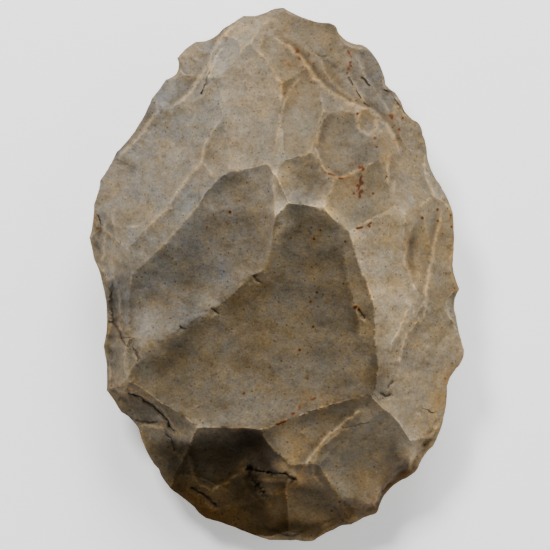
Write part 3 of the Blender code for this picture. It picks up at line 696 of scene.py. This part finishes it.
def rusted(x, y):
    """How rusty the stone is, along the lines, in the specks and over the stains."""
    rust = np.zeros(len(x))
    broken = smooth_step(noise(x, y, 1.6, 901), -0.35, 0.45)
    for line in RUST_LINES:
        rust = np.maximum(rust, broken * bell(path_distance(line.path, x, y, 4)[0] / line.width))
    ragged = 1 + 0.5 * noise(x, y, 0.9, 902)
    for speck_x, speck_y, radius in RUST_SPECKS:
        spread = np.hypot(x - speck_x, y - speck_y) / radius * ragged
        rust = np.maximum(rust, 1 - smooth_step(spread, 0.2, 1.3))
    for stain_x, stain_y, radius in RUST_STAINS:
        rust = np.maximum(rust, STAIN * bell(np.hypot(x - stain_x, y - stain_y) / radius))
    return rust


# ---------------------------------------------------------------- one face of the axe
def edge_chips(seed):
    """Small random scars along the edge, as use and trimming leave them."""
    line = edge_line(8)
    step = np.hypot(*np.diff(line, axis=0, append=line[:1]).T)
    length = step.sum()
    at = np.concatenate([[0], np.cumsum(step)])
    closed = np.vstack([line, line[:1]])
    random = np.random.default_rng(seed)

    def edge_place(place):
        return np.array([np.interp(place, at, closed[:, 0]), np.interp(place, at, closed[:, 1])])

    chips = []
    place = 0.0
    while place < length:
        x, y = edge_place(place)
        ahead_x, ahead_y = edge_place(min(place + 0.5, length)) - (x, y)
        size = random.uniform(*CHIP_LENGTH)
        bearing = math.degrees(math.atan2(ahead_y, ahead_x)) + random.uniform(-20, 20)
        width = size * random.uniform(*CHIP_WIDTH)
        chips.append(Scar("edge chip", x, y, size, width, bearing, size * random.uniform(*CHIP_HOLLOW)))
        place += CHIP_SPACING * random.uniform(0.6, 1.5)
    return chips


class Face:
    """One face: side 1 looks up and side -1 down. Heights count outward from the edge's middle."""

    def __init__(self, side, scars, facets, nicks, seed):
        self.side = side
        self.seed = seed
        self.body = upper_body if side > 0 else (lambda x, y: -lower_body(x, y))
        self.bowls = knap(scars + facets + nicks, self.body)
        self.large = len(scars)
        self.ridged = len(scars) + len(facets)
        self.chips = [Bowl(chip, self.solid) for chip in edge_chips(seed)]

    def lens(self, x, y):
        slope = UPPER_EDGE if self.side > 0 else LOWER_EDGE
        return self.side * edge_lens(x, y, slope)

    def solid(self, x, y):
        rise = np.min([self.body(x, y)] + [bowl.height(x, y) for bowl in self.bowls], axis=0)
        return np.maximum(rise, self.lens(x, y))

    def warp(self, x, y):
        """Ridges wander a little: places are read slightly off, except at the edge."""
        calm = smooth_step(inward(x, y), 0.5, 9)
        shift_x, shift_y = shifts(x, y, self.seed + 1, ((0.8, 13), (0.28, 4.5)))
        return x + shift_x * calm, y + shift_y * calm

    def surfaces(self, x, y, count):
        """Heights at a place of the body and of the first scars. A small scar ends near its own outline."""
        x, y = self.warp(x, y)
        rises = np.stack([self.body(x, y)] + [bowl.height(x, y) for bowl in self.bowls[:count]])
        for index in range(self.large, count):
            rises[1 + index] += TRIM * self.bowls[index].past(x, y, 1.15)
        return rises

    def carved(self, x, y):
        """The two lowest of all the surfaces at a place, the lowest one, and the lowest large one."""
        rises = self.surfaces(x, y, len(self.bowls))
        under = np.argmin(rises[:1 + self.large], axis=0)
        order = np.argpartition(rises, 1, axis=0)
        lowest = np.take_along_axis(rises, order[:1], 0)[0]
        second = np.take_along_axis(rises, order[1:2], 0)[0]
        return lowest, second, order[0], under

    def gap(self, x, y):
        """How far the next surface lies above the one that shows: nought on a ridge."""
        lowest, second, _, _ = self.carved(x, y)
        return np.minimum(second - lowest, np.abs(lowest - self.lens(x, y)))

    def ridge_step(self, x, y):
        """The step in plan to the nearest ridge, and how strong that ridge is."""
        tiny = 0.03
        here = self.gap(x, y)
        slope_x = (self.gap(x + tiny, y) - self.gap(x - tiny, y)) / (2 * tiny)
        slope_y = (self.gap(x, y + tiny) - self.gap(x, y - tiny)) / (2 * tiny)
        strength = np.hypot(slope_x, slope_y)
        ratio = -here / np.maximum(strength, 1e-3) ** 2
        return slope_x * ratio, slope_y * ratio, strength

    def wear(self, x, y):
        """How worn the stone is: 1 on the sharpest ridges, none in the hollows, and uneven along them."""
        def gap(x, y):
            rises = np.partition(self.surfaces(x, y, self.ridged), 1, axis=0)
            return rises[1] - rises[0]

        tiny = 0.2
        here = gap(x, y)
        slope_x = np.maximum(np.abs(gap(x + tiny, y) - here), np.abs(gap(x - tiny, y) - here)) / tiny
        slope_y = np.maximum(np.abs(gap(x, y + tiny) - here), np.abs(gap(x, y - tiny) - here)) / tiny
        strength = np.hypot(slope_x, slope_y)
        away = here / np.maximum(strength, 1e-3)
        width = WORN_LINE * (1 + 0.5 * noise(x, y, 5, self.seed + 9))
        patchy = 0.25 + 0.75 * smooth_step(noise(x, y, 9, self.seed + 10), -0.45, 0.35)
        broken = 0.6 + 0.4 * smooth_step(noise(x, y, 3, self.seed + 12), -0.3, 0.2)
        return rubbed(away, width, WORN_HALO, broken) * smooth_step(strength, 0.10, 0.55) * patchy

    def height(self, x, y):
        """The finished surface, which scar it is on, and which large scar (0 is the bare body)."""
        lowest, second, which, under = self.carved(x, y)
        rise = lowest
        for chip in self.chips:
            near = np.hypot(x - chip.scar.x, y - chip.scar.y) < chip.scar.length
            bite = chip.height(x[near], y[near]) + CHIP_TRIM * chip.past(x[near], y[near], 1.1)
            rise[near] = np.minimum(rise[near], bite)
        rise = np.maximum(rise, self.lens(x, y))
        calm = smooth_step(inward(x, y), *CALM_BAND)
        crumbled = np.exp(-(second - lowest) / 0.15) * smooth_step(noise(x, y, 2.0, self.seed + 11), 0.0, 0.5)
        rise = rise - CRUMBLE * calm * crumbled
        rough = layered(x, y, self.seed + 5, ((0.25, 10), (0.12, 4.6), (0.03, 2.1), (0.012, 1.0)))
        return rise + calm * rough, which, under

    def patina_and_shade(self, which, under, x, y):
        """Base colour of the stone at each place, partly patina and partly painted shade and light."""
        rows = [UNDERSIDE] * (1 + len(self.bowls))
        if self.side > 0:
            names = ["body"] + [bowl.scar.name for bowl in self.bowls]
            which = np.where([names[index] in PATINA_AND_SHADE for index in which], which, under)
            rows = [PATINA_AND_SHADE.get(name, UNDERSIDE) for name in names]
        colour = STONE * np.array([np.array(hue) * light for hue, light in rows])[which]
        if self.side > 0:
            shift_x, shift_y = shifts(x, y, 131, ((2.0, 9), (0.7, 3)))
            # The soft zones: partly the stone's own tone, partly painted shade and light.
            for zone in SHADE_AND_TONE_ZONES:
                share = patch(zone, x + shift_x, y + shift_y)[:, None]
                colour = colour * (1 + share * (zone.light * np.array(zone.tone) - 1))
        cloud = 1 + layered(x, y, self.seed + 20, ((0.10, 16), (0.08, 6)))
        warm = layered(x, y, self.seed + 22, ((0.10, 9), (0.07, 4)))[:, None] * np.array((1, 0.2, -1.4))
        return np.clip(colour * cloud[:, None] * (1 + warm), 0.002, 0.9)

    def finished(self, x, y, on_rim):
        """Heights along Z, and the layers that the material reads, by name."""
        rise, which, under = self.height(x, y)
        z = np.where(on_rim, edge_height(share_out(x, y)[1]), self.side * rise)
        z = np.maximum(z, REST_LEVEL)
        worn = self.wear(x, y)
        tint = self.patina_and_shade(which, under, x, y)
        crack_shade, rust = np.zeros((2, len(x)))
        if self.side > 0:
            for unworn in UNWORN:
                worn = worn * (1 - unworn.share * patch(unworn, x, y))
            crest, pale, foot_shade = crests(x, y)
            depth, crack_shade, lit_lip = cracked(x, y)
            rust = rusted(x, y)
            z = z + smooth_step(inward(x, y), *CALM_BAND) * (crest + ripples(x, y)) - depth * ~on_rim
            # The wear layer also carries the cracks' lips, painted light.
            worn = np.max([worn, pale, lit_lip], axis=0)
            # Painted shade at the foot of each crest's steeper side.
            tint = tint * (1 - foot_shade[:, None] * np.array(FOOT_SHADE))
        return z, {"tint": tint, "worn": worn, "crack_shade": crack_shade, "rust": rust}


# ---------------------------------------------------------------- the mesh
def add(name, data):
    """A new object in the scene."""
    made = bpy.data.objects.new(name, data)
    bpy.context.scene.collection.objects.link(made)
    return made


def hex_grid(step):
    line = edge_line(8)
    low = line.min(axis=0)
    high = line.max(axis=0)
    rows = np.arange(low[1], high[1], step * math.sqrt(3) / 2)
    columns = np.arange(low[0], high[0], step)
    x, y = np.meshgrid(columns, rows)
    x = x + np.where(np.arange(len(rows)) % 2, step / 2, 0)[:, None]
    return x.ravel(), y.ravel()


def beside(path, width, shares):
    """A path's points, moved sideways by the given shares of a width."""
    run = np.diff(path, axis=0, append=2 * path[-1:] - path[-2:-1])
    side = np.stack([-run[:, 1], run[:, 0]], axis=1) / np.hypot(*run.T)[:, None]
    return [path + side * share * width for share in shares]


def detail_points():
    """Extra mesh points that keep the cracks, rust lines, crests and specks crisp."""
    spots = []
    for crack in CRACKS + RUST_LINES:
        spots += beside(crack.path, crack.width, (-1.1, -0.45, 0, 0.45, 1.1))
    for ridge in RIDGES:
        spots += beside(ridge.path, 1, (-0.35, 0, 0.35))
    for speck_x, speck_y, radius in RUST_SPECKS:
        for ring, count in ((0, 1), (0.6, 6), (1.25, 8)):
            turn = np.arange(count) * (2 * math.pi / count) + speck_x
            ring_x = speck_x + ring * radius * np.cos(turn)
            ring_y = speck_y + ring * radius * np.sin(turn)
            spots.append(np.stack([ring_x, ring_y], axis=1))
    return np.concatenate(spots)


def rim_line():
    """The edge as a fine line, slightly rough, with even steps."""
    line = edge_line(10)
    arms = line - (EYE_X, EYE_Y)
    roughness = layered(line[:, 0], line[:, 1], 91, ((0.10, 2.2), (0.05, 0.9)))
    return (EYE_X, EYE_Y) + arms * (1 + roughness / np.hypot(*arms.T))[:, None]


def face_mesh(face, step, rim, extra):
    """Points and triangles of one face, with mesh edges along its ridges. The rim comes first."""
    def off_rim(x, y):
        keep = inward(x, y) > RIM_GAP * step
        return x[keep], y[keep]

    x, y = off_rim(*hex_grid(step))
    for _ in range(3):
        step_x, step_y, strength = face.ridge_step(x, y)
        snap = (np.hypot(step_x, step_y) < 0.5 * step) & (strength > 0.06)
        x = np.where(snap, x + step_x, x)
        y = np.where(snap, y + step_y, y)
    x, y = off_rim(x, y)
    if len(extra):
        extra_x, extra_y = off_rim(extra[:, 0], extra[:, 1])
        tree = KDTree(len(extra_x))
        for number, place in enumerate(zip(extra_x, extra_y)):
            tree.insert((*place, 0), number)
        tree.balance()
        clear = np.array([tree.find((*place, 0))[2] > 0.3 * step for place in zip(x, y)])
        x = np.concatenate([x[clear], extra_x])
        y = np.concatenate([y[clear], extra_y])
    places = rim.tolist() + np.stack([x, y], axis=1).tolist()
    count = len(rim)
    border = [(i, (i + 1) % count) for i in range(count)]
    made, _, faces, origins, _, _ = delaunay_2d_cdt(places, border, [], 1, 0.03)
    made = np.array([(point.x, point.y) for point in made])
    rim_index = np.array([min(origin) if origin and min(origin) < count else -1 for origin in origins])
    return made, np.array(faces), rim_index


def build_axe():
    """Both faces on one mesh: they share the points of the rim."""
    rim = rim_line()
    points = []
    triangles = []
    layers = {"tint": [], "worn": [], "crack_shade": [], "rust": []}
    rim_number = {}
    total = 0
    for face, step, extra in ((Face(1, UPPER_SCARS, FACETS, NICKS, 11), FINE_STEP, detail_points()),
                              (Face(-1, LOWER_SCARS, [], [], 57), COARSE_STEP, [])):
        places, faces, rim_index = face_mesh(face, step, rim, extra)
        z, looks = face.finished(places[:, 0], places[:, 1], rim_index >= 0)
        new = np.array([key not in rim_number for key in rim_index])
        number = np.empty(len(new), dtype=int)
        number[new] = total + np.arange(new.sum())
        number[~new] = [rim_number[key] for key in rim_index[~new]]
        rim_number.update((key, i) for key, i in zip(rim_index, number) if key >= 0)
        total += new.sum()
        points.append(np.column_stack([places, z])[new])
        triangles.append(number[faces if face.side > 0 else faces[:, ::-1]])
        for name, values in looks.items():
            layers[name].append(values[new])
    middle = (edge_line(4).min(axis=0) + edge_line(4).max(axis=0)) / 2
    points = (np.concatenate(points) - (*middle, REST_LEVEL)) * MM
    mesh = bpy.data.meshes.new("axe")
    mesh.from_pydata(points.tolist(), [], np.concatenate(triangles).tolist())
    mesh.validate()
    mesh.shade_smooth()
    mesh.set_sharp_from_angle(angle=math.radians(SHARP_ANGLE))
    tint = mesh.attributes.new("tint", "FLOAT_COLOR", "POINT")
    colours = np.ones((total, 4))
    colours[:, :3] = np.concatenate(layers.pop("tint"))
    tint.data.foreach_set("color", colours.ravel())
    for name, values in layers.items():
        mesh.attributes.new(name, "FLOAT", "POINT").data.foreach_set("value", np.concatenate(values))
    return add("axe_stone", mesh)


# ---------------------------------------------------------------- material
class Tree:
    """Short ways to add and join the nodes of one material."""

    def __init__(self, material):
        material.use_nodes = True
        self.nodes = material.node_tree.nodes
        self.links = material.node_tree.links
        self.shader = self.nodes["Principled BSDF"]
        self.place = self.nodes.new("ShaderNodeTexCoord").outputs["Object"]

    def join(self, source, target):
        if hasattr(source, "node"):
            self.links.new(source, target)
        elif isinstance(source, tuple):
            target.default_value = (*source, 1)
        else:
            target.default_value = source

    def layer(self, name):
        node = self.nodes.new("ShaderNodeAttribute")
        node.attribute_name = name
        return node.outputs["Color"] if name == "tint" else node.outputs["Fac"]

    def texture(self, kind, size):
        """A texture node with features of the given size in millimetres."""
        node = self.nodes.new(kind)
        self.links.new(self.place, node.inputs["Vector"])
        node.inputs["Scale"].default_value = 1 / (size * MM)
        return node

    def noise(self, size, detail, roughness):
        node = self.texture("ShaderNodeTexNoise", size)
        node.inputs["Detail"].default_value = detail
        node.inputs["Roughness"].default_value = roughness
        return node.outputs["Fac"]

    def spots(self, size):
        """Distance from scattered points about the given size apart, in shares of that size."""
        return self.texture("ShaderNodeTexVoronoi", size).outputs["Distance"]

    def span(self, value, low, high, to_low=0.0, to_high=1.0):
        node = self.nodes.new("ShaderNodeMapRange")
        node.interpolation_type = "SMOOTHSTEP"
        for source, target in zip((value, low, high, to_low, to_high), node.inputs):
            self.join(source, target)
        return node.outputs[0]

    def times(self, a, b):
        node = self.nodes.new("ShaderNodeMath")
        node.operation = "MULTIPLY"
        self.join(a, node.inputs[0])
        self.join(b, node.inputs[1])
        return node.outputs[0]

    def mix(self, share, a, b, blend="MIX"):
        node = self.nodes.new("ShaderNodeMix")
        node.data_type = "RGBA"
        node.blend_type = blend
        self.join(share, node.inputs["Factor"])
        self.join(a, node.inputs[6])
        self.join(b, node.inputs[7])
        return node.outputs[2]

    def tinted(self, share, colour, tone):
        """The colour, multiplied by a tone in the given share."""
        return self.mix(share, colour, tone, "MULTIPLY")

    def bump(self, height, depth, below):
        """A bump of the given depth in millimetres, on top of another one."""
        node = self.nodes.new("ShaderNodeBump")
        node.inputs["Distance"].default_value = depth * MM
        self.links.new(height, node.inputs["Height"])
        if below:
            self.links.new(below, node.inputs["Normal"])
        return node.outputs["Normal"]


def flint_material():
    material = bpy.data.materials.new("patinated flint")
    tree = Tree(material)
    clouds = tree.noise(14, 6, 0.62)
    mottle = tree.noise(4.5, 5, 0.62)
    grain = tree.noise(1.5, 5, 0.68)
    fine = tree.noise(0.55, 2, 0.5)
    hue = tree.noise(2.1, 6, 0.80)
    colour = tree.layer("tint")
    # Each noise tints the stone where it is high or low: from where to where, how much at either
    # end, and the tone.
    for source, low, high, at_low, at_high, tone in (
            (clouds, 0.48, 0.66, 0.0, 0.80, (1.09, 0.98, 0.78)),
            (clouds, 0.36, 0.50, 0.75, 0.0, (0.95, 1.0, 1.04)),
            (hue, 0.48, 0.66, 0.0, 0.90, (1.07, 0.985, 0.70)),
            (hue, 0.34, 0.52, 0.90, 0.0, (0.94, 1.0, 1.14)),
            (mottle, 0.34, 0.50, 0.74, 0.0, (0.765, 0.72, 0.635)),
            (mottle, 0.52, 0.70, 0.0, 0.74, (1.31, 1.30, 1.27)),
            (grain, 0.32, 0.48, 0.92, 0.0, (0.68, 0.66, 0.64)),
            (grain, 0.54, 0.70, 0.0, 0.86, (1.40, 1.36, 1.28)),
            (fine, 0.52, 0.72, 0.0, 0.62, (0.64, 0.58, 0.52)),
            (fine, 0.28, 0.48, 0.62, 0.0, (1.36, 1.33, 1.28))):
        colour = tree.tinted(tree.span(source, low, high, at_low, at_high), colour, tone)
    pits = tree.span(tree.spots(1.7), 0.09, 0.17, 1.0, 0.0)
    pits = tree.times(pits, tree.span(mottle, 0.40, 0.56, 0.2, 1.0))
    colour = tree.tinted(pits, colour, (0.40, 0.31, 0.24))
    specks = tree.span(tree.spots(3.1), 0.06, 0.12, 0.85, 0.0)
    colour = tree.tinted(specks, colour, (0.62, 0.32, 0.14))
    wear = tree.times(tree.span(tree.layer("worn"), 0.15, 0.85), tree.span(grain, 0.32, 0.56, 0.55, 1.0))
    colour = tree.tinted(wear, colour, (1.72, 1.58, 1.32))
    rust = tree.layer("rust")
    colour = tree.tinted(tree.span(rust, 0.02, 0.30, 0.0, 1.0), colour, (1.04, 0.76, 0.42))
    colour = tree.mix(tree.span(rust, 0.25, 0.55, 0.0, 0.9), colour, RUST)
    colour = tree.mix(tree.span(rust, 0.48, 0.80, 0.0, 0.9), colour, DARK_RUST)
    # Painted shade in the cracks.
    crack_shade = tree.times(tree.layer("crack_shade"), tree.span(grain, 0.30, 0.60, 0.60, 0.90))
    colour = tree.mix(crack_shade, colour, CRACK_SHADE_COLOUR)
    tree.join(colour, tree.shader.inputs["Base Color"])
    tree.join(tree.span(grain, 0.3, 0.7, 0.66, 0.48), tree.shader.inputs["Roughness"])
    relief = None
    for source, depth in ((mottle, 0.22), (grain, 0.10), (fine, 0.04)):
        relief = tree.bump(source, depth, relief)
    tree.join(relief, tree.shader.inputs["Normal"])
    tree.join(tree.span(tree.layer("tint"), 0.01, 0.10, 0.02, 0.25), tree.shader.inputs["Specular IOR Level"])
    return material


# ---------------------------------------------------------------- the scene
axe = build_axe()
axe.data.materials.append(flint_material())
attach(axe, "root")
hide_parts("hand_axe")

# From here on, sizes are in metres.
FLOOR = 3  # half width of the ground
CARD_LIGHTNESS = 0.92
CARD_GLOW = 0.45  # a light table, so that it shows near white
floor_mesh = bpy.data.meshes.new("floor")
floor_corners = [(-FLOOR, -FLOOR, 0), (FLOOR, -FLOOR, 0), (FLOOR, FLOOR, 0), (-FLOOR, FLOOR, 0)]
floor_mesh.from_pydata(floor_corners, [], [(0, 1, 2, 3)])
floor = add("floor", floor_mesh)
floor_material = bpy.data.materials.new("white card")
floor_material.use_nodes = True
card = floor_material.node_tree.nodes["Principled BSDF"]
card.inputs["Base Color"].default_value = (CARD_LIGHTNESS, CARD_LIGHTNESS, CARD_LIGHTNESS, 1)
card.inputs["Roughness"].default_value = 0.9
card.inputs["Emission Color"].default_value = (1, 1, 1, 1)
card.inputs["Emission Strength"].default_value = CARD_GLOW
floor_mesh.materials.append(floor_material)

FRAME_SPAN = 0.14393  # what the camera's frame spans at the height of the edge
EDGE_LEVEL = 0.016
CAMERA_RISE = 1.2     # of the camera above the edge
CAMERA_X = -0.00039
CAMERA_Y = 0.00013
SENSOR = 36           # width of the camera's sensor, in millimetres
camera_data = bpy.data.cameras.new("camera")
camera_data.sensor_width = SENSOR
camera_data.lens = SENSOR * CAMERA_RISE / FRAME_SPAN
camera_data.clip_end = 20
camera = add("camera", camera_data)
camera.location = (CAMERA_X, CAMERA_Y, EDGE_LEVEL + CAMERA_RISE)
bpy.context.scene.camera = camera

LIGHT_DISTANCE = 1.2
SKY = 0.12  # strength of the even light from all round
# Square lights that look at the axe: direction, size and power.
for name, direction, size, power in (("top light", (0.15, 0.90, 0.45), 0.6, 26),
                                     ("key", (-0.40, 0.75, 0.90), 0.30, 17),
                                     ("side light", (0.90, 0.20, 0.50), 0.8, 7)):
    light_data = bpy.data.lights.new(name, "AREA")
    light_data.size = size
    light_data.energy = power
    light = add(name, light_data)
    aim = Vector(direction).normalized()
    light.location = aim * LIGHT_DISTANCE
    light.rotation_euler = aim.to_track_quat("Z", "Y").to_euler()

world = bpy.data.worlds.new("studio")
world.use_nodes = True
background = world.node_tree.nodes["Background"]
background.inputs["Color"].default_value = (1, 1, 1, 1)
background.inputs["Strength"].default_value = SKY
bpy.context.scene.world = world
